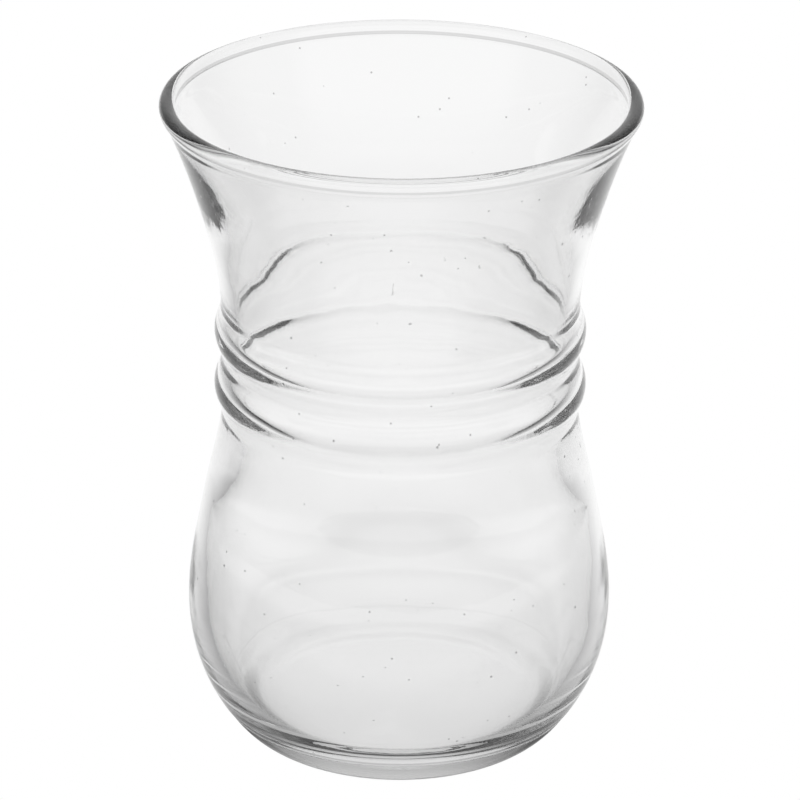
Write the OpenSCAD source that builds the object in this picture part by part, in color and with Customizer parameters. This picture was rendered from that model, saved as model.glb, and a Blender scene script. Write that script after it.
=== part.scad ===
// Waisted tea glass for chai, one piece of clear glass, turned from the section of its wall
// Millimetres, +Z up. The origin is the centre of the foot, on the table

/* [Rim] */
// Height from the table to the top of the rim
glass_h = 90; // [84:0.5:110]
// Diameter over the outside of the rim
mouth_d = 63; // [58:0.5:72]
// Thickness of the fire-rounded bead round the rim
bead_d = 2.1; // [1.6:0.1:3]
// How far the bead stands proud of the outside of the wall below it
bead_proud = 0.2; // [0.1:0.05:0.4]
// Distance from the middle of the bead down the wall to the foot of its swelling
bead_neck = 2.6; // [2:0.1:4]
// Thickness of the wall there, just below the bead
rim_wall = 1.4; // [1.2:0.1:2]
// Outward lean of the wall there, in degrees
rim_lean = 23; // [18:1:34]

/* [Flare] */
// Height of the middle of the flare
flare_z = 72; // [66:0.5:78]
// Outside diameter at the middle of the flare
flare_d = 51; // [49:0.5:56]
// Outward lean of the wall at the middle of the flare, in degrees
flare_lean = 15.5; // [8:0.5:22]

/* [Throat] */
// Outside diameter of the throat, in the grooves beside the rings
throat_d = 47.2; // [44:0.1:49]
// Height where the throat starts
throat_low_z = 49; // [46:0.5:51]
// Height where the throat ends
throat_high_z = 58; // [56:0.5:62]

/* [Rings] */
// Height of the crest of the lower ring
ring_z = 50; // [48:0.5:52]
// Distance from the crest of one ring to the next
ring_pitch = 7.7; // [7:0.1:9]
// Number of rings
ring_count = 2; // [1:1:2]
// Width of a ring, from foot to foot of its swelling
ring_w = 8.8; // [7:0.1:10]
// How far the lower ring stands out of the throat
low_ring_h = 1.15; // [0.5:0.05:1.5]
// How much less the next ring up stands out
ring_fall = 0.1; // [0:0.05:0.3]
// Sharpness of a crest, 1 for a plain wave and more for a narrower ridge
crest_power = 1.1; // [1:0.1:2.5]

/* [Hollows] */
// Depth of the hollow that the bore has behind the lower ring
low_hollow_h = 0.6; // [0.3:0.05:0.8]
// How much deeper the hollow behind the next ring up is
hollow_rise = 0.1; // [0:0.05:0.15]
// Width of a hollow, from edge to edge
hollow_w = 6.2; // [5:0.1:8]
// How far the middle of a hollow lies above the crest of its ring
hollow_lift = 0.2; // [-0.5:0.1:0.5]
// Sharpness of a hollow, 1 for a plain wave and more for a narrower groove
hollow_power = 1.4; // [1:0.1:2.5]

/* [Bulb] */
// Height of the inward sloping shoulder between throat and bulb
shoulder_z = 34; // [30:0.5:38]
// Outside diameter at that shoulder
shoulder_d = 52.6; // [50:0.2:55]
// Inward lean of the wall at that shoulder, in degrees
shoulder_lean = 10.7; // [6:0.1:15]
// Height of the widest place of the bulb
bulb_z = 18.8; // [16:0.2:22]
// Outside diameter at the widest place of the bulb
bulb_d = 57.1; // [54:0.1:62]

/* [Bore] */
// Thickness of the wall in the flare
flare_wall = 2; // [1.6:0.1:3]
// Height where the narrowest length of the bore starts
waist_z = 50; // [46:0.1:54]
// How long that narrowest length is
waist_h = 2; // [1:0.1:4]
// Thickness of the wall there, measured level and without the rings
throat_wall = 2; // [1.7:0.1:3]
// Thickness of the wall at the shoulder, measured level
shoulder_wall = 2.9; // [1.8:0.1:4]
// Inward lean of the bore at the shoulder, in degrees
bore_lean = 19.2; // [12:0.2:22]
// Height of the widest place of the bore
belly_z = 20.5; // [17:0.5:24]
// Thickness of the wall there, measured level
belly_wall = 2.4; // [1.6:0.1:3.2]
// Diameter of the floor at the bottom of the bore
floor_d = 35.8; // [30:0.2:40]
// How far the floor rises from its edge to its middle
floor_rise = 0.35; // [0:0.05:1]

/* [Foot] */
// Height of the mould seam round the heel
heel_z = 5; // [4:0.2:7]
// Outside diameter just above the mould seam
heel_d = 49.6; // [46:0.2:52]
// Outward lean of the wall at the mould seam, in degrees
heel_lean = 32; // [24:1:40]
// How far the wall above the mould seam stands proud of the foot below it
seam_step = 0.1; // [0.05:0.05:0.3]
// Diameter of the ring that the glass stands on, at the middle of its width
foot_d = 35.2; // [30:0.2:40]
// Width of the flat of the ring that the glass stands on
foot_flat_w = 1.6; // [0.6:0.2:3]
// How far the underside is pushed up in the middle
push_up = 0.55; // [0.4:0.05:2]
// Thickness of the glass in the middle of the base
base_t = 4.1; // [3:0.1:8]

/* [Hidden] */
glass_tint = [0.86, 0.9, 0.9, 0.45];

// Greatest height of one slope of the turned section
slope_h = 0.6;
// Greatest length of one slope between the wall and the round of the bead
neck_slope = 0.4;
// Greatest width of one slope of the floor and the underside
mound_slope = 2;
// Turn of one step round the bead, in degrees
arc_step = 10;
// How far the round of the bead reaches below its middle, outside and inside, in degrees
bead_out_turn = 41;
bead_in_turn = 26;
// How far the neck of the bead holds the wall's direction, and the bead's
neck_hold_share = 0.25;
// How far the corner inside the base holds the floor's direction, and the wall's
floor_hold_share = 0.51;
belly_hold_share = 0.51;
// How far the curve under the seam holds the table's direction, and the seam's
foot_hold_share = 0.43;
seam_hold_share = 0.19;

bead_r = bead_d / 2;
bead_centre = [mouth_d / 2 - bead_r, glass_h - bead_r];
floor_z = push_up + base_t - floor_rise;
foot_in_r = (foot_d - foot_flat_w) / 2;
foot_out_r = (foot_d + foot_flat_w) / 2;

// A station is [radius, height, outward lean], where the wall passes through on its way up
heel = [heel_d / 2, heel_z, heel_lean];
bulb = [bulb_d / 2, bulb_z, 0];
shoulder = [shoulder_d / 2, shoulder_z, -shoulder_lean];
throat_low = [throat_d / 2, throat_low_z, 0];
throat_high = [throat_d / 2, throat_high_z, 0];
shoulder_in = [shoulder.x - shoulder_wall, shoulder_z, -bore_lean];
waist_low = [throat_d / 2 - throat_wall, waist_z, 0];
waist_high = [throat_d / 2 - throat_wall, waist_z + waist_h, 0];
flare = [flare_d / 2, flare_z, flare_lean];
belly = [bulb_d / 2 - belly_wall, belly_z, 0];
up_rim = [sin(rim_lean), cos(rim_lean)];
out_rim = [cos(rim_lean), -sin(rim_lean)];
rim_foot = bead_centre - bead_neck * up_rim + (bead_r - bead_proud) * out_rim;
rim_out = [rim_foot.x, rim_foot.y, rim_lean];

// The station one wall further in, square to the outside
function inside(at, wall) = [at.x - wall * cos(at.z), at.y + wall * sin(at.z), at.z];

// Smooth curve between two stations that keeps the lean of both, at the share t of its height
function between(low, high, t) =
    let (h = high.y - low.y, t2 = t * t, t3 = t2 * t)
    [(2 * t3 - 3 * t2 + 1) * low.x + (t3 - 2 * t2 + t) * h * tan(low.z)
        + (3 * t2 - 2 * t3) * high.x + (t3 - t2) * h * tan(high.z), low.y + t * h];

// Points from one station up to the next, without the last
function rise(low, high) =
    let (steps = ceil((high.y - low.y) / slope_h))
    [for (i = [0 : steps - 1]) between(low, high, i / steps)];

// Points through a list of stations, from the first to the last
function climb(stations) =
    let (last = stations[len(stations) - 1])
    [for (i = [0 : len(stations) - 2]) each rise(stations[i], stations[i + 1]), [last.x, last.y]];

// Height of a rounded wave at the distance off from its middle
function wave(off, height, width, power) =
    2 * abs(off) < width ? height * pow(cos(180 * off / width), 2 * power) : 0;

// How far the rings swell the outside at the height z, counted from ring number i up
function rings_at(z, i = 0) = i == ring_count ? 0 :
    let (off = z - ring_z - i * ring_pitch)
    wave(off, low_ring_h - i * ring_fall, ring_w, crest_power) + rings_at(z, i + 1);

// How far the hollows behind the rings swell the bore at the height z, counted the same way
function hollows_at(z, i = 0) = i == ring_count ? 0 :
    let (off = z - ring_z - i * ring_pitch - hollow_lift)
    wave(off, low_hollow_h + i * hollow_rise, hollow_w, hollow_power) + hollows_at(z, i + 1);

// Curve of four control points, for the foot under the seam and the corner of the floor
function swept(a, b, c, d, t) =
    pow(1 - t, 3) * a + 3 * t * pow(1 - t, 2) * b + 3 * t * t * (1 - t) * c + t * t * t * d;

function reversed(points) = [for (i = [len(points) - 1 : -1 : 0]) points[i]];

// Shallow rounded mound from the axis out to its edge at the radius r and the height z
function mound(r, z, height) =
    let (steps = ceil(r / mound_slope))
    [for (i = [0 : steps]) let (x = r * i / steps) [x, z + wave(x, height, 2 * r, 1)]];

// From the table up to the mould seam
function under_seam() =
    let (start = [foot_out_r, 0], end = [heel.x - seam_step, heel.y], reach = norm(end - start),
        hold = start + [foot_hold_share * reach, 0],
        ease = end - seam_hold_share * reach * [sin(heel_lean), cos(heel_lean)],
        steps = ceil(reach / slope_h))
    [for (i = [0 : steps]) swept(start, hold, ease, end, i / steps)];

// Outside of the wall, from the mould seam to the neck of the bead
function outside() =
    let (plain = climb([heel, bulb, shoulder, throat_low, throat_high, flare, rim_out]))
    [for (p = plain) [p.x + rings_at(p.y), p.y]];

// Place on the round of the bead at the angle a, and the way that the round runs there
function on_bead(a) = bead_centre + bead_r * [cos(a), sin(a)];
function bead_way(a) = [-sin(a), cos(a)];

// From a place on the wall, without its own point, to the round of the bead at the angle a
// The side is 1 outside and -1 inside
function neck(wall, a, side) =
    let (start = [wall.x, wall.y], end = on_bead(a), reach = norm(end - start),
        hold = neck_hold_share * reach, steps = ceil(reach / neck_slope))
    [for (i = [1 : steps])
        swept(start, start + hold * up_rim, end - side * hold * bead_way(a), end, i / steps)];

// From the wall outside over the top of the bead to the wall inside
function bead() =
    let (low = -bead_out_turn, high = 180 + bead_in_turn, steps = ceil((high - low) / arc_step))
    concat(neck(rim_out, low, 1), [for (i = [1 : steps - 1]) on_bead(low + (high - low) * i / steps)],
        reversed(neck(inside(rim_out, rim_wall), high, -1)));

// Bore, from its widest place in the bulb up to the neck of the bead
function bore() =
    let (plain = climb([belly, shoulder_in, waist_low, waist_high,
        inside(flare, flare_wall), inside(rim_out, rim_wall)]))
    [for (p = plain) [p.x + hollows_at(p.y), p.y]];

// Floor inside the base, and its rounded corner up to the widest place of the bore
function bowl() =
    let (edge = [floor_d / 2, floor_z], end = [belly.x, belly.y],
        hold = edge + [floor_hold_share * (end.x - edge.x), 0],
        ease = end - [0, belly_hold_share * (end.y - edge.y)],
        steps = ceil(norm(end - edge) / slope_h))
    concat(mound(edge.x, edge.y, floor_rise),
        [for (i = [1 : steps - 1]) swept(edge, hold, ease, end, i / steps)]);

module glass() {
    color(glass_tint)
        rotate_extrude($fn = 180)
            polygon(concat(mound(foot_in_r, 0, push_up), under_seam(), outside(), bead(),
                reversed(bore()), reversed(bowl())));
}

glass();
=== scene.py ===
"""Waisted tea glass for chai, turned in clear glass, on a pale lit table in a plain studio.

The wall's section is drawn as a chain of vertices and spun round the axis, so that the outside, the bore,
the bead, the rings and the foot are one closed skin. Metres, +Z up, the foot's middle is the origin.
"""

import logging
import math
from dataclasses import dataclass, field
from enum import Enum

import bpy
from mathutils import Matrix, Vector

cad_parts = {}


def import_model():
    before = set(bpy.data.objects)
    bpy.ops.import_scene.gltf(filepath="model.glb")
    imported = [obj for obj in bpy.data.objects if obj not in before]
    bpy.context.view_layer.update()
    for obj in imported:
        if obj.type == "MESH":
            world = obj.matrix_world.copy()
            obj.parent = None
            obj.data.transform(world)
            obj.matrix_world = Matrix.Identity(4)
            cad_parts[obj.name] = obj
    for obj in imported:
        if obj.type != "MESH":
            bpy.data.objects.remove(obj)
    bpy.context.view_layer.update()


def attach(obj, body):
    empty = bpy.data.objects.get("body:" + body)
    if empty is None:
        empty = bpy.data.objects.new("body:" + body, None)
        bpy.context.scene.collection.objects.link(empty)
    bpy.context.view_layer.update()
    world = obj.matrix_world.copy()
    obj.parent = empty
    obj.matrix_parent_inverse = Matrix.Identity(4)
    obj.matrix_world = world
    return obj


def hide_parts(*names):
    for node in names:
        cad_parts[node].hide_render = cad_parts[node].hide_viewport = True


MM = 0.001
TURN = 2 * math.pi
LIGHT_BOUNCES = 64
LIGHT_TURN = -3.5  # degrees that the table's and the room's light are turned round the glass
log = logging.getLogger("tea_glass")


class Side(Enum):
    """The two sides of the wall."""

    OUTSIDE = 1
    INSIDE = -1


@dataclass(frozen=True)
class Station:
    """A place that the wall passes through on its way up, in millimetres and degrees."""

    radius: float
    height: float
    lean: float = 0.0

    def rise(self) -> float:
        """Gives the change of radius for each unit of height."""
        return math.tan(math.radians(self.lean))

    def inside(self, wall: float) -> "Station":
        """Gives the station one wall further in, square to the outside.

        Args:
            wall: thickness of the wall in millimetres.

        Returns:
            The station on the bore, with the same lean.
        """
        lean = math.radians(self.lean)
        return Station(self.radius - wall * math.cos(lean), self.height + wall * math.sin(lean), self.lean)


@dataclass(frozen=True)
class Point:
    """A point of the section in millimetres: its distance from the axis and its height."""

    radius: float
    height: float

    def vector(self) -> Vector:
        """Gives the point in metres, on the half plane where the section is drawn."""
        return Vector((self.radius * MM, 0.0, self.height * MM))


def gap(start: Point, end: Point) -> float:
    """Gives the straight distance between two points in millimetres."""
    return math.hypot(end.radius - start.radius, end.height - start.height)


def between(start: Point, end: Point, share: float) -> Point:
    """Gives the point that lies a share of the way from one point to another."""
    return Point(
        start.radius + share * (end.radius - start.radius),
        start.height + share * (end.height - start.height),
    )


def climb(stations: tuple[Station, ...], step: float = 0.1) -> list[Point]:
    """Draws the smooth curve through stations that keeps the lean of each.

    Args:
        stations: the stations, from the lowest up.
        step: greatest height of one step in millimetres.

    Returns:
        Points from the first station to the last, both of them included.
    """
    points = []
    for low, high in zip(stations, stations[1:]):
        height = high.height - low.height
        count = math.ceil(height / step)
        for i in range(count):
            t = i / count
            t2, t3 = t * t, t * t * t
            radius = (
                (2 * t3 - 3 * t2 + 1) * low.radius
                + (t3 - 2 * t2 + t) * height * low.rise()
                + (3 * t2 - 2 * t3) * high.radius
                + (t3 - t2) * height * high.rise()
            )
            points.append(Point(radius, low.height + t * height))
    return [*points, Point(stations[-1].radius, stations[-1].height)]


def sweep(start: Point, hold: Point, ease: Point, end: Point, count: int = 60) -> list[Point]:
    """Draws a curve of four control points.

    Args:
        start: the first point.
        hold: the point that the curve heads for at first.
        ease: the point that it comes from at last.
        end: the last point.
        count: number of steps.

    Returns:
        Points from the start to the end, both of them included.
    """
    points = []
    for i in range(count + 1):
        t = i / count
        shares = ((1 - t) ** 3, 3 * t * (1 - t) ** 2, 3 * t * t * (1 - t), t**3)
        stops = (start, hold, ease, end)
        points.append(
            Point(
                sum(s * p.radius for s, p in zip(shares, stops)),
                sum(s * p.height for s, p in zip(shares, stops)),
            )
        )
    return points


def wave(off: float, height: float, width: float, power: float = 1.0) -> float:
    """Gives the height of a rounded wave at a distance from its middle.

    Args:
        off: the distance from the middle.
        height: height of the crest.
        width: width from edge to edge.
        power: sharpness, 1 for a plain wave and more for a narrower one.

    Returns:
        The height there, which is zero past the edges.
    """
    return height * math.cos(math.pi * off / width) ** (2 * power) if 2 * abs(off) < width else 0.0


@dataclass(frozen=True)
class Spacing:
    """Spaces a smooth chain of points anew, closer where it turns, and never with a sudden change.

    An uneven chain would tilt the smoothed normals, and each tilt shows as a streak in the glass. A step is
    at most longest millimetres, turns by at most sharpest degrees, and grows by at most growth for each
    millimetre of the chain.
    """

    longest: float = 0.52
    sharpest: float = 6.0
    growth: float = 0.12
    least_bend: float = 1e-6

    def steps(self, points: list[Point], lengths: list[float]) -> list[float]:
        """Gives the step that is wanted at each point.

        Args:
            points: the chain.
            lengths: length of each of its links.

        Returns:
            One step for each point, in millimetres.
        """
        headings = [
            math.atan2(b.height - a.height, b.radius - a.radius) for a, b in zip(points, points[1:])
        ]
        wanted = [self.longest] * len(points)
        for i in range(1, len(points) - 1):
            turn = abs(math.remainder(headings[i] - headings[i - 1], TURN))
            bend = 2 * turn / (lengths[i - 1] + lengths[i])
            wanted[i] = min(self.longest, math.radians(self.sharpest) / max(bend, self.least_bend))
        for i in range(1, len(points)):
            wanted[i] = min(wanted[i], wanted[i - 1] + self.growth * lengths[i - 1])
        for i in range(len(points) - 2, -1, -1):
            wanted[i] = min(wanted[i], wanted[i + 1] + self.growth * lengths[i])
        return wanted

    def apply(self, points: list[Point]) -> list[Point]:
        """Gives the chain with its new points.

        Args:
            points: a smooth chain, drawn finely.

        Returns:
            Points on the same chain, with the same first and last.
        """
        lengths = [gap(a, b) for a, b in zip(points, points[1:])]
        wanted = self.steps(points, lengths)
        reach = [0.0]
        for length, near, far in zip(lengths, wanted, wanted[1:]):
            reach.append(reach[-1] + 2 * length / (near + far))
        count = math.ceil(reach[-1])
        spaced, link = [points[0]], 0
        for i in range(1, count):
            goal = reach[-1] * i / count
            while reach[link + 1] < goal:
                link += 1
            share = (goal - reach[link]) / (reach[link + 1] - reach[link])
            spaced.append(between(points[link], points[link + 1], share))
        return [*spaced, points[-1]]


def deselect_all() -> None:
    """Leaves edit mode and clears the selection, because an operator acts on all that is selected."""
    if bpy.context.object and bpy.context.object.mode != "OBJECT":
        bpy.ops.object.mode_set(mode="OBJECT")
    bpy.ops.object.select_all(action="DESELECT")


def finish_mesh(piece: bpy.types.Object) -> None:
    """Puts a piece's place into its mesh, so that its object sits at the origin, unturned and unscaled.

    Args:
        piece: the piece, in any mode.
    """
    deselect_all()
    piece.select_set(True)
    bpy.context.view_layer.objects.active = piece
    bpy.ops.object.transform_apply(location=True, rotation=True, scale=True)


@dataclass(frozen=True)
class Ripple:
    """An unevenness of the bore, left where the glass was blown out. Millimetres."""

    length: float
    depth: float
    mid_grey: float = 0.5

    def press(self, piece: bpy.types.Object, group: str) -> None:
        """Presses the ripple into a piece.

        Args:
            piece: the piece, selected and active in object mode.
            group: name of the vertex group that it reaches.
        """
        texture = bpy.data.textures.new(f"ripple_{self.length:g}", "CLOUDS")
        texture.noise_scale = self.length * MM
        texture.noise_depth = 1
        push = piece.modifiers.new(texture.name, "DISPLACE")
        push.texture = texture
        push.texture_coords = "LOCAL"
        push.vertex_group = group
        push.mid_level = self.mid_grey
        push.strength = self.depth * MM / self.mid_grey
        bpy.ops.object.modifier_apply(modifier=push.name)


@dataclass
class TeaGlass:
    """The glass itself, one skin round one piece of clear glass. Sizes are millimetres and degrees.

    Names that end in _d are diameters, in _r radii, in _h heights, in _w widths and in _z places above the
    table. A hold is the share of a curve's reach over which it keeps its first or last direction.
    """

    glass_h: float = 90.0
    mouth_d: float = 63.0
    bead_d: float = 2.1
    bead_proud: float = 0.2
    bead_neck: float = 2.6
    rim_wall: float = 1.4
    rim_lean: float = 23.0
    bead_out_turn: float = 41.0
    bead_in_turn: float = 26.0
    neck_hold: float = 0.25
    flare: Station = Station(25.5, 72.0, 15.5)
    throat_r: float = 23.6
    throat_low_z: float = 49.0
    throat_high_z: float = 58.0
    ring_z: float = 50.0
    ring_pitch: float = 7.7
    ring_heights: tuple[float, ...] = (1.15, 1.05)
    ring_w: float = 8.8
    crest_power: float = 1.1
    hollow_heights: tuple[float, ...] = (0.6, 0.7)
    hollow_w: float = 6.2
    hollow_lift: float = 0.2
    hollow_power: float = 1.4
    shoulder: Station = Station(26.3, 34.0, -10.7)
    bulb: Station = Station(28.55, 18.8)
    heel: Station = Station(24.8, 5.0, 32.0)
    seam_step: float = 0.1
    foot_in_r: float = 16.8
    foot_out_r: float = 18.4
    foot_hold: float = 0.43
    seam_hold: float = 0.19
    push_up: float = 0.55
    floor_z: float = 4.3
    floor_r: float = 18.65
    floor_rise: float = 0.45
    floor_hold: float = 0.38
    belly_hold: float = 0.64
    flare_wall: float = 2.0
    waist_wall: float = 2.0
    waist_z: float = 50.0
    waist_h: float = 2.0
    shoulder_wall: float = 2.9
    bore_lean: float = 19.2
    belly: Station = Station(26.15, 18.8)
    ripples: tuple[Ripple, ...] = (Ripple(9.0, 0.02), Ripple(2.6, 0.011))
    calm_h: float = 5.0
    bead_steps: int = 120
    corner_steps: int = 120
    mound_steps: int = 60
    hidden_step: float = 1.2
    segments: int = 176
    least_move: float = 1e-4
    weld: float = 2e-3
    skin: list[Point] = field(default_factory=list)

    def swelled(
        self, points: list[Point], heights: tuple[float, ...], lift: float, width: float, power: float
    ) -> list[Point]:
        """Swells a stretch of the wall by one wave at each ring.

        Args:
            points: the plain stretch.
            heights: height of the wave at each ring, from the lower ring up.
            lift: how far the waves lie above the crests of the rings.
            width: width of a wave.
            power: sharpness of a wave.

        Returns:
            The swelled stretch.
        """
        swelled = []
        for p in points:
            offs = [p.height - self.ring_z - lift - i * self.ring_pitch for i in range(len(heights))]
            swell = sum(wave(off, height, width, power) for off, height in zip(offs, heights))
            swelled.append(Point(p.radius + swell, p.height))
        return swelled

    def on_bead(self, turn: float) -> Point:
        """Gives the place on the bead's round at an angle in degrees, from level outside over the top."""
        bead_r, angle = self.bead_d / 2, math.radians(turn)
        return Point(
            self.mouth_d / 2 - bead_r + bead_r * math.cos(angle),
            self.glass_h - bead_r + bead_r * math.sin(angle),
        )

    def rim_out(self) -> Station:
        """Works out where the bead's swelling starts on the outside.

        Returns:
            The station, which leans as the rim does.
        """
        bead_r, lean = self.bead_d / 2, math.radians(self.rim_lean)
        out = bead_r - self.bead_proud
        return Station(
            self.mouth_d / 2 - bead_r - self.bead_neck * math.sin(lean) + out * math.cos(lean),
            self.glass_h - bead_r - self.bead_neck * math.cos(lean) - out * math.sin(lean),
            self.rim_lean,
        )

    def neck(self, wall: Station, turn: float, side: Side) -> list[Point]:
        """Draws the neck from the wall to the round of the bead.

        Args:
            wall: the station where the neck starts.
            turn: the angle on the bead where it ends.
            side: which side of the wall it lies on.

        Returns:
            Points from the wall to the bead, both of them included.
        """
        start, end = Point(wall.radius, wall.height), self.on_bead(turn)
        hold = self.neck_hold * gap(start, end)
        lean, angle = math.radians(wall.lean), math.radians(turn)
        leave = Point(start.radius + hold * math.sin(lean), start.height + hold * math.cos(lean))
        back = side.value * hold
        reach = Point(end.radius + back * math.sin(angle), end.height - back * math.cos(angle))
        return sweep(start, leave, reach, end)

    def mound(self, edge_r: float, edge_z: float, height: float) -> list[Point]:
        """Draws a shallow rounded mound.

        Args:
            edge_r: radius of its edge.
            edge_z: place of its edge above the table.
            height: how far its middle stands above its edge.

        Returns:
            Points from the axis out to the edge.
        """
        radii = [edge_r * i / self.mound_steps for i in range(self.mound_steps + 1)]
        return [Point(r, edge_z + wave(r, height, 2 * edge_r)) for r in radii]

    def under_seam(self) -> list[Point]:
        """Draws the foot's outer curve below the mould seam.

        Returns:
            Points from the table up to the seam round the heel.
        """
        start = Point(self.foot_out_r, 0.0)
        end = Point(self.heel.radius - self.seam_step, self.heel.height)
        reach = gap(start, end)
        lean, back = math.radians(self.heel.lean), self.seam_hold * reach
        hold = Point(start.radius + self.foot_hold * reach, 0.0)
        ease = Point(end.radius - back * math.sin(lean), end.height - back * math.cos(lean))
        return sweep(start, hold, ease, end)

    def outside(self) -> list[Point]:
        """Draws the outside with the rings on it.

        Returns:
            Points from the mould seam up to the neck of the bead.
        """
        low = Station(self.throat_r, self.throat_low_z)
        high = Station(self.throat_r, self.throat_high_z)
        plain = climb((self.heel, self.bulb, self.shoulder, low, high, self.flare, self.rim_out()))
        return self.swelled(plain, self.ring_heights, 0.0, self.ring_w, self.crest_power)

    def bead(self) -> list[Point]:
        """Draws the fire-rounded bead and its two necks.

        Returns:
            Points from the wall outside, over the top, to the wall inside.
        """
        low, high = -self.bead_out_turn, 180 + self.bead_in_turn
        rim = self.rim_out()
        outer = self.neck(rim, low, Side.OUTSIDE)
        inner = self.neck(rim.inside(self.rim_wall), high, Side.INSIDE)
        steps = self.bead_steps
        top = [self.on_bead(low + (high - low) * i / steps) for i in range(1, steps)]
        return [*outer, *top, *reversed(inner)]

    def bore(self) -> list[Point]:
        """Draws the bore with the hollows behind the rings.

        Returns:
            Points from the bore's widest place up to the neck of the bead.
        """
        outer = self.shoulder
        shoulder = Station(outer.radius - self.shoulder_wall, outer.height, -self.bore_lean)
        waist_r = self.throat_r - self.waist_wall
        low, high = Station(waist_r, self.waist_z), Station(waist_r, self.waist_z + self.waist_h)
        flare = self.flare.inside(self.flare_wall)
        rim = self.rim_out().inside(self.rim_wall)
        plain = climb((self.belly, shoulder, low, high, flare, rim))
        return self.swelled(plain, self.hollow_heights, self.hollow_lift, self.hollow_w, self.hollow_power)

    def corner(self) -> list[Point]:
        """Draws the rounded corner of the bowl.

        Returns:
            Points from the edge of the floor up to the widest place of the bore.
        """
        edge, end = Point(self.floor_r, self.floor_z), Point(self.belly.radius, self.belly.height)
        hold = Point(edge.radius + self.floor_hold * (end.radius - edge.radius), edge.height)
        ease = Point(end.radius, end.height - self.belly_hold * (end.height - edge.height))
        return sweep(edge, hold, ease, end, self.corner_steps)

    def section(self) -> list[Point]:
        """Draws the whole section.

        Returns:
            Points from the underside's middle, up the outside and down the bore, to the floor's middle.
        """
        floor = self.mound(self.floor_r, self.floor_z, self.floor_rise)
        inner = [*floor, *self.corner()[1:], *self.bore()[1:]]
        wall = [*self.outside(), *self.bead()[1:], *reversed(inner[:-1])]
        under = self.mound(self.foot_in_r, 0.0, self.push_up)
        coarse, fine = Spacing(longest=self.hidden_step), Spacing()
        return [*coarse.apply(under), *fine.apply(self.under_seam()), *fine.apply(wall)]

    def draw(self) -> bpy.types.Object:
        """Draws the section as a chain of vertices, each extruded from the last.

        Returns:
            The object whose mesh is the chain, in the half plane of +X.
        """
        self.skin = self.section()
        places = [p.vector() for p in self.skin]
        deselect_all()
        bpy.ops.mesh.primitive_plane_add(size=MM, location=places[0])
        chain = bpy.context.object
        chain.name = "glass_body"
        bpy.ops.object.transform_apply(location=True, rotation=True, scale=True)
        bpy.ops.object.mode_set(mode="EDIT")
        bpy.ops.mesh.select_all(action="SELECT")
        bpy.ops.mesh.merge(type="CENTER")
        for last, here in zip(places, places[1:]):
            if (here - last).length > self.least_move * MM:
                bpy.ops.mesh.extrude_vertices_move(TRANSFORM_OT_translate={"value": here - last})
        bpy.ops.object.mode_set(mode="OBJECT")
        self.mark_bore(chain)
        return chain

    def mark_bore(self, chain: bpy.types.Object) -> None:
        """Marks the bore in a vertex group, which fades out below the bead.

        Args:
            chain: the chain of vertices, in object mode.
        """
        group = chain.vertex_groups.new(name="bore")
        top = max(range(len(self.skin)), key=lambda i: self.skin[i].height)
        calm_z = self.glass_h - 2 * self.bead_d
        for i, vertex in enumerate(chain.data.vertices):
            if i > top:
                below = calm_z - vertex.co.z / MM
                group.add([i], min(1.0, max(0.0, below / self.calm_h)), "REPLACE")

    def turn(self, chain: bpy.types.Object) -> None:
        """Spins the chain once round the axis and closes the seam and the two poles.

        Args:
            chain: the object from draw.
        """
        bpy.ops.object.mode_set(mode="EDIT")
        bpy.ops.mesh.select_all(action="SELECT")
        bpy.ops.mesh.spin(steps=self.segments, angle=TURN, center=(0, 0, 0), axis=(0, 0, 1))
        bpy.ops.mesh.select_all(action="SELECT")
        bpy.ops.mesh.remove_doubles(threshold=self.weld * MM)
        bpy.ops.mesh.normals_make_consistent(inside=False)
        bpy.ops.object.mode_set(mode="OBJECT")
        bpy.ops.object.shade_smooth()
        chain.data.validate()

    def build(self) -> bpy.types.Object:
        """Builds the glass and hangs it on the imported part's body.

        Returns:
            The finished piece.
        """
        piece = self.draw()
        self.turn(piece)
        for ripple in self.ripples:
            ripple.press(piece, "bore")
        finish_mesh(piece)
        piece.data.materials.append(ClearGlass().material())
        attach(piece, "root")
        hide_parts("glass")
        return piece


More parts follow.
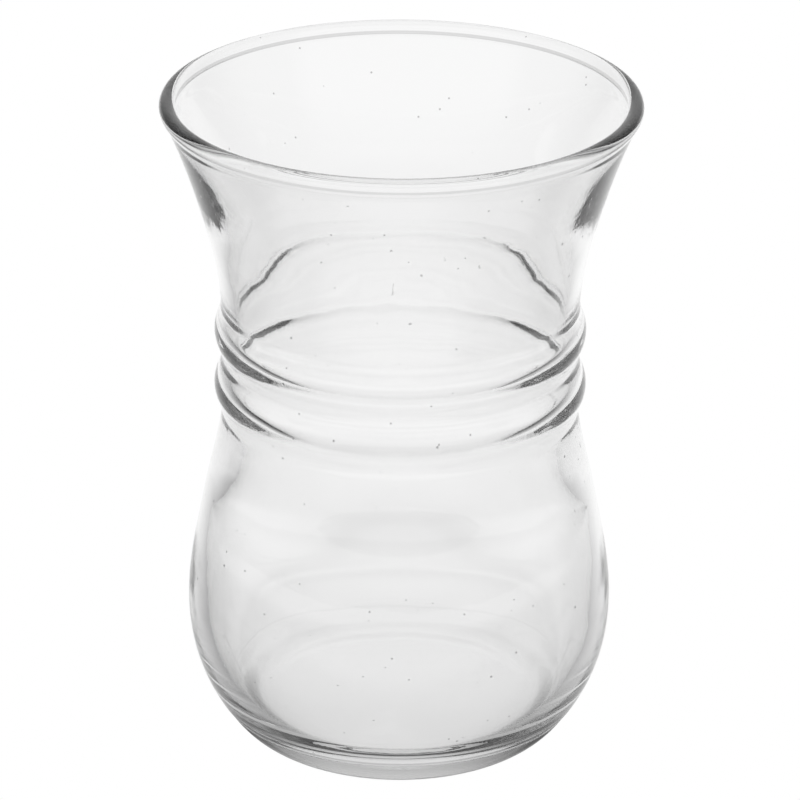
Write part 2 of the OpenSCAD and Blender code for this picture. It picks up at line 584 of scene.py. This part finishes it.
class NodeDesk:
    """Places and joins the nodes of one node tree."""

    def __init__(self, tree: bpy.types.NodeTree) -> None:
        """Clears the tree and keeps it."""
        self.tree = tree
        tree.nodes.clear()

    def add(self, kind: str, **settings: object) -> bpy.types.Node:
        """Adds a node.

        Args:
            kind: the node's type name.
            **settings: attributes that are set on it.

        Returns:
            The new node.
        """
        node = self.tree.nodes.new(kind)
        for name, value in settings.items():
            setattr(node, name, value)
        return node

    def link(self, source: bpy.types.NodeSocket, target: bpy.types.NodeSocket) -> None:
        """Joins an output to an input."""
        self.tree.links.new(source, target)

    def sum(self, kind: str, *terms: bpy.types.NodeSocket | float) -> bpy.types.NodeSocket:
        """Works out a sum, product or other function of numbers.

        Args:
            kind: the Math node's operation.
            *terms: sockets or plain numbers.

        Returns:
            The result's socket.
        """
        node = self.add("ShaderNodeMath", operation=kind)
        for i, term in enumerate(terms):
            if isinstance(term, (int, float)):
                node.inputs[i].default_value = term
            else:
                self.link(term, node.inputs[i])
        return node.outputs[0]

    def turned(self, place: bpy.types.NodeSocket, degrees: float) -> bpy.types.Node:
        """Turns a place round the upright axis and takes it apart.

        Args:
            place: the place's socket.
            degrees: how far the pattern that reads it turns to the left.

        Returns:
            The node whose outputs are X, Y and Z.
        """
        turn = self.add("ShaderNodeMapping")
        turn.inputs["Rotation"].default_value = (0.0, 0.0, -math.radians(degrees))
        self.link(place, turn.inputs["Vector"])
        parts = self.add("ShaderNodeSeparateXYZ")
        self.link(turn.outputs["Vector"], parts.inputs[0])
        return parts

    def fade(
        self, value: bpy.types.NodeSocket, near: float, far: float, start: float, end: float
    ) -> bpy.types.NodeSocket:
        """Eases one number over to another as a value goes from near to far.

        Args:
            value: the socket that is read.
            near: where the change starts.
            far: where it ends.
            start: the number before near.
            end: the number past far.

        Returns:
            The eased number's socket.
        """
        node = self.add("ShaderNodeMapRange", interpolation_type="SMOOTHSTEP")
        self.link(value, node.inputs[0])
        for i, number in enumerate((near, far, start, end), 1):
            node.inputs[i].default_value = number
        return node.outputs[0]

    def fade_round(
        self, angle: bpy.types.NodeSocket, near: float, far: float, start: float, end: float
    ) -> bpy.types.NodeSocket:
        """Does what fade does, for an angle, with near and far in degrees."""
        return self.fade(angle, math.radians(near), math.radians(far), start, end)


def grey(level: float) -> tuple[float, float, float, float]:
    """Gives a plain grey as a solid colour."""
    return (level, level, level, 1.0)


@dataclass(frozen=True)
class ClearGlass:
    """Fire-polished clear soda-lime glass, with fine seeds and draw lines in its skin. Millimetres.

    It absorbs light at the rate soak for each metre of the light's way, alike for every colour.
    """

    ior: float = 1.52
    tint: float = 0.998
    seed_spacing: float = 3.6
    seed_r: float = 0.2
    seed_core: float = 0.4
    seed_tint: float = 0.3
    seed_rough: float = 0.3
    seed_depth: float = 0.03
    line_w: float = 0.4
    line_length: float = 6.0
    line_h: float = 0.0015
    soak: float = 4.0
    soak_grey: float = 0.5

    def seeds(self, desk: NodeDesk, place: bpy.types.NodeSocket) -> bpy.types.NodeSocket:
        """Scatters small round seeds through the glass.

        Args:
            desk: the material's node desk.
            place: the piece's own coordinates.

        Returns:
            The socket of the mask, 1 in the middle of a seed.
        """
        cells = desk.add("ShaderNodeTexVoronoi", voronoi_dimensions="3D", feature="F1")
        cells.inputs["Scale"].default_value = 1 / (self.seed_spacing * MM)
        desk.link(place, cells.inputs["Vector"])
        edge = self.seed_r / self.seed_spacing
        return desk.fade(cells.outputs["Distance"], self.seed_core * edge, edge, 1.0, 0.0)

    def draw_lines(self, desk: NodeDesk, place: bpy.types.NodeSocket) -> bpy.types.NodeSocket:
        """Draws the fine upright lines that the mould leaves.

        Args:
            desk: the material's node desk.
            place: the piece's own coordinates.

        Returns:
            The socket of the lines' height, from 0 to 1.
        """
        stretch = desk.add("ShaderNodeMapping")
        across, along = 1 / (self.line_w * MM), 1 / (self.line_length * MM)
        stretch.inputs["Scale"].default_value = (across, across, along)
        desk.link(place, stretch.inputs["Vector"])
        lines = desk.add("ShaderNodeTexNoise")
        lines.inputs["Scale"].default_value = 1.0
        lines.inputs["Detail"].default_value = 1.0
        desk.link(stretch.outputs["Vector"], lines.inputs["Vector"])
        return lines.outputs[0]

    def material(self) -> bpy.types.Material:
        """Builds the material.

        Returns:
            The new material.
        """
        material = bpy.data.materials.new("clear_glass")
        material.use_nodes = True
        desk = NodeDesk(material.node_tree)
        out = desk.add("ShaderNodeOutputMaterial")
        body = desk.add("ShaderNodeBsdfPrincipled")
        body.inputs["IOR"].default_value = self.ior
        body.inputs["Transmission Weight"].default_value = 1.0
        place = desk.add("ShaderNodeTexCoord").outputs["Object"]
        seeds, lines = self.seeds(desk, place), self.draw_lines(desk, place)
        colour = desk.add("ShaderNodeMix", data_type="RGBA")
        colour.inputs["A"].default_value = grey(self.tint)
        colour.inputs["B"].default_value = grey(self.seed_tint)
        desk.link(seeds, colour.inputs["Factor"])
        desk.link(colour.outputs["Result"], body.inputs["Base Color"])
        desk.link(desk.sum("MULTIPLY", seeds, self.seed_rough), body.inputs["Roughness"])
        sunk = desk.sum("MULTIPLY", seeds, -self.seed_depth * MM)
        bump = desk.add("ShaderNodeBump")
        bump.inputs["Distance"].default_value = 1.0
        desk.link(desk.sum("MULTIPLY_ADD", lines, self.line_h * MM, sunk), bump.inputs["Height"])
        desk.link(bump.outputs["Normal"], body.inputs["Normal"])
        desk.link(body.outputs[0], out.inputs["Surface"])
        depth = desk.add("ShaderNodeVolumeAbsorption")
        depth.inputs["Color"].default_value = grey(self.soak_grey)
        depth.inputs["Density"].default_value = self.soak / (1.0 - self.soak_grey)
        desk.link(depth.outputs[0], out.inputs["Volume"])
        return material


@dataclass
class LightTable:
    """The pale lit table. Metres and degrees.

    The table glows, and its glow is painted light. It is a wedge of painted light that opens away from the
    camera. The wedge's point lies in front of the glass, and a round painted shadow under the heel darkens
    it, as does a slight painted shade near the glass. A dimmer strip of painted light, fore, lies in front
    of the glass, and a dimmer apron farther out, in front and at the sides. The camera itself sees the
    table plain white, as the photograph was printed.
    """

    radius: float = 4.0
    bright: float = 0.985
    rest: float = 0.03
    point_y: float = -0.04
    wedge_near: float = 18.0
    wedge_far: float = 70.0
    front_near: float = 0.02
    front_far: float = 0.06
    # painted shade near the glass: where it ends, and how much it dims the glow
    near_r: float = 0.05
    near_far_r: float = 0.10
    near_painted_shade: float = 0.07
    fall_near: float = -0.010
    fall_far: float = 0.029
    fall: float = 0.2
    # painted shadow round the heel: its ring's radius and width, its depth in front and behind, and where
    # the depth changes
    heel_r: float = 0.0228
    heel_w: float = 0.0029
    heel_painted_shadow: float = 0.81
    heel_back_painted_shadow: float = 0.06
    heel_near: float = -0.012
    heel_far: float = 0.008
    # painted light: a dimmer strip in front of the glass and an apron farther out
    fore_near: float = 0.045
    fore_far: float = 0.075
    fore_side: float = 0.05
    fore_side_far: float = 0.10
    fore_end: float = 0.16
    fore_end_far: float = 0.30
    fore: float = 0.45
    apron_near: float = 0.13
    apron_far: float = 0.24
    apron: float = 0.65
    sides: int = 128
    drop: float = 3e-5

    def wedge(
        self, desk: NodeDesk, side: bpy.types.NodeSocket, away: bpy.types.NodeSocket
    ) -> bpy.types.NodeSocket:
        """Gives the wedge of painted light, which fades out to both sides.

        Args:
            desk: the material's node desk.
            side: distance to the side of the middle line.
            away: distance behind the glass's axis.

        Returns:
            The socket of the light, from 0 to 1.
        """
        bearing = desk.sum("ARCTAN2", side, desk.sum("SUBTRACT", away, self.point_y))
        return desk.fade_round(bearing, self.wedge_near, self.wedge_far, 1.0, 0.0)

    def front(self, desk: NodeDesk, ahead: bpy.types.NodeSocket) -> bpy.types.NodeSocket:
        """Gives how the wedge of painted light falls off under the glass and ends in front of it.

        Args:
            desk: the material's node desk.
            ahead: distance in front of the glass's axis.

        Returns:
            The socket of the share that is left of the light.
        """
        fall = desk.fade(ahead, self.fall_near, self.fall_far, 1.0, 1.0 - self.fall)
        return desk.sum("MULTIPLY", desk.fade(ahead, self.front_near, self.front_far, 1.0, 0.0), fall)

    def near(self, desk: NodeDesk, radius: bpy.types.NodeSocket) -> bpy.types.NodeSocket:
        """Gives the painted shade that leaves the table's glow a little dimmer near the glass."""
        return desk.fade(radius, self.near_r, self.near_far_r, 1.0 - self.near_painted_shade, 1.0)

    def shade(
        self, desk: NodeDesk, radius: bpy.types.NodeSocket, away: bpy.types.NodeSocket
    ) -> bpy.types.NodeSocket:
        """Gives what the painted shadow round the heel leaves of the glow, less in front than behind.

        Args:
            desk: the material's node desk.
            radius: distance from the glass's axis.
            away: distance behind the axis.

        Returns:
            The socket of the share that is left of the light.
        """
        # painted shadow: a ring round the heel where the table's glow is darker, deeper in front
        off = desk.sum("ABSOLUTE", desk.sum("SUBTRACT", radius, self.heel_r))
        ring = desk.fade(off, 0.0, self.heel_w, 1.0, 0.0)
        depth = desk.fade(away, self.heel_near, self.heel_far, self.heel_painted_shadow, self.heel_back_painted_shadow)
        return desk.sum("SUBTRACT", 1.0, desk.sum("MULTIPLY", ring, depth))

    def light(self, desk: NodeDesk) -> bpy.types.NodeSocket:
        """Works out the table's painted light and shade from the place on it.

        Args:
            desk: the material's node desk.

        Returns:
            The socket of the light's strength.
        """
        parts = desk.turned(desk.add("ShaderNodeTexCoord").outputs["Object"], LIGHT_TURN)
        side, away = desk.sum("ABSOLUTE", parts.outputs["X"]), parts.outputs["Y"]
        ahead = desk.sum("MULTIPLY", away, -1.0)
        squares = desk.sum("ADD", desk.sum("MULTIPLY", side, side), desk.sum("MULTIPLY", away, away))
        radius = desk.sum("POWER", squares, 0.5)
        # pool of painted light: the wedge, with painted shade near the glass and a painted shadow round the
        # heel
        lit = desk.sum("MULTIPLY", self.wedge(desk, side, away), self.front(desk, ahead))
        lit = desk.sum("MULTIPLY", lit, desk.sum("MULTIPLY", self.near(desk, radius), self.bright))
        lit = desk.sum("MULTIPLY", lit, self.shade(desk, radius, away))
        # strip and apron of painted light in front of the glass and at its sides
        fore = desk.sum(
            "MULTIPLY",
            desk.fade(ahead, self.fore_near, self.fore_far, 0.0, self.fore),
            desk.fade(side, self.fore_side, self.fore_side_far, 1.0, 0.0),
        )
        fore = desk.sum("MULTIPLY", fore, desk.fade(ahead, self.fore_end, self.fore_end_far, 1.0, 0.0))
        apron = desk.sum(
            "MULTIPLY",
            desk.fade(radius, self.apron_near, self.apron_far, 0.0, self.apron),
            desk.fade(ahead, -self.apron_far, 0.0, 0.0, 1.0),
        )
        dim = desk.sum("MAXIMUM", desk.sum("MAXIMUM", fore, apron), self.rest)
        glow = desk.sum("MAXIMUM", lit, dim)
        return desk.sum("MAXIMUM", glow, desk.add("ShaderNodeLightPath").outputs["Is Camera Ray"])

    def build(self) -> bpy.types.Object:
        """Builds the table.

        Returns:
            The table's object, which isn't part of the glass.
        """
        deselect_all()
        bpy.ops.mesh.primitive_circle_add(
            vertices=self.sides, radius=self.radius, fill_type="NGON", location=(0, 0, -self.drop)
        )
        table = bpy.context.object
        table.name = "table"
        finish_mesh(table)
        material = bpy.data.materials.new("table_painted_light")
        material.use_nodes = True
        desk = NodeDesk(material.node_tree)
        out = desk.add("ShaderNodeOutputMaterial")
        glow = desk.add("ShaderNodeEmission")
        desk.link(self.light(desk), glow.inputs["Strength"])
        desk.link(glow.outputs[0], out.inputs["Surface"])
        table.data.materials.append(material)
        return table


@dataclass
class Studio:
    """The room round the table. Angles in degrees.

    A bright panel stands behind the glass. A dimmer strip, back, stands opposite the panel, and one that is
    dimmer still at each side. Elsewhere the room is almost dark.
    """

    side_near: float = 8.0
    side_far: float = 64.0
    top_near: float = 36.0
    top_far: float = 56.0
    room: float = 0.03
    ceiling: float = 0.08
    ceiling_low: float = 50.0
    ceiling_full: float = 80.0
    bright: float = 0.965
    back: float = 0.7
    back_near: float = 100.0
    back_far: float = 130.0
    beside: float = 0.3
    beside_near: float = 58.0
    beside_far: float = 85.0
    strip_low: float = 2.0
    strip_low_full: float = 14.0
    strip_top: float = 41.0
    strip_top_none: float = 54.0

    def build(self) -> bpy.types.World:
        """Builds the room's light.

        Returns:
            The scene's world.
        """
        world = bpy.data.worlds.new("studio")
        bpy.context.scene.world = world
        world.use_nodes = True
        desk = NodeDesk(world.node_tree)
        out = desk.add("ShaderNodeOutputWorld")
        sky = desk.add("ShaderNodeBackground")
        parts = desk.turned(desk.add("ShaderNodeTexCoord").outputs["Generated"], LIGHT_TURN)
        bearing = desk.sum("ABSOLUTE", desk.sum("ARCTAN2", parts.outputs["X"], parts.outputs["Y"]))
        height = desk.sum("ARCSINE", parts.outputs["Z"])
        wide = desk.fade_round(bearing, self.side_near, self.side_far, 1.0, 0.0)
        tall = desk.fade_round(height, self.top_near, self.top_far, 1.0, 0.0)
        panel = desk.sum("MULTIPLY", desk.sum("MULTIPLY", wide, tall), self.bright)
        over = desk.fade_round(height, self.ceiling_low, self.ceiling_full, self.room, self.ceiling)
        behind = desk.fade_round(bearing, self.back_near, self.back_far, 0.0, self.back)
        beside = desk.fade_round(bearing, self.beside_near, self.beside_far, 0.0, self.beside)
        foot = desk.fade_round(height, self.strip_low, self.strip_low_full, 0.0, 1.0)
        top = desk.fade_round(height, self.strip_top, self.strip_top_none, 1.0, 0.0)
        wall = desk.sum("MULTIPLY", desk.sum("MAXIMUM", behind, beside), desk.sum("MULTIPLY", foot, top))
        desk.link(desk.sum("MAXIMUM", desk.sum("MAXIMUM", panel, wall), over), sky.inputs["Strength"])
        desk.link(sky.outputs[0], out.inputs["Surface"])
        return world


@dataclass
class Camera:
    """The camera at the photograph's angle. Metres and degrees, but millimetres for focal and sensor."""

    focal: float = 202.5
    pitch: float = 23.62
    distance: float = 0.6012
    aim_z: float = 0.0469
    roll: float = 0.29794
    sensor: float = 36.0
    clip: float = 0.01

    def build(self) -> bpy.types.Object:
        """Builds the camera and makes it the scene's own.

        Returns:
            The camera's object.
        """
        deselect_all()
        pitch = math.radians(self.pitch)
        aim = Vector((0.0, 0.0, self.aim_z))
        place = aim + self.distance * Vector((0.0, -math.cos(pitch), math.sin(pitch)))
        look = (aim - place).to_track_quat("-Z", "Y").to_matrix()
        roll = Matrix.Rotation(math.radians(self.roll), 3, "Z")
        bpy.ops.object.camera_add(location=place, rotation=(look @ roll).to_euler())
        camera = bpy.context.object
        camera.data.sensor_width = self.sensor
        camera.data.lens = self.focal
        camera.data.clip_start = self.clip
        bpy.context.scene.camera = camera
        return camera


def set_light_paths() -> None:
    """Lets light pass through and along the wall as often as it does in thick glass."""
    scene = bpy.context.scene
    scene.view_settings.view_transform = "Standard"
    scene.cycles.max_bounces = LIGHT_BOUNCES
    scene.cycles.transmission_bounces = LIGHT_BOUNCES
    scene.cycles.glossy_bounces = LIGHT_BOUNCES


def main() -> None:
    """Builds the glass, the table, the room and the camera in order."""
    logging.basicConfig(level=logging.INFO, format="%(name)s: %(message)s")
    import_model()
    for thing in (TeaGlass(), LightTable(), Studio(), Camera()):
        made = thing.build()
        log.info("%s built as %s", type(thing).__name__, made.name)
    set_light_paths()


if __name__ == "__main__":
    main()
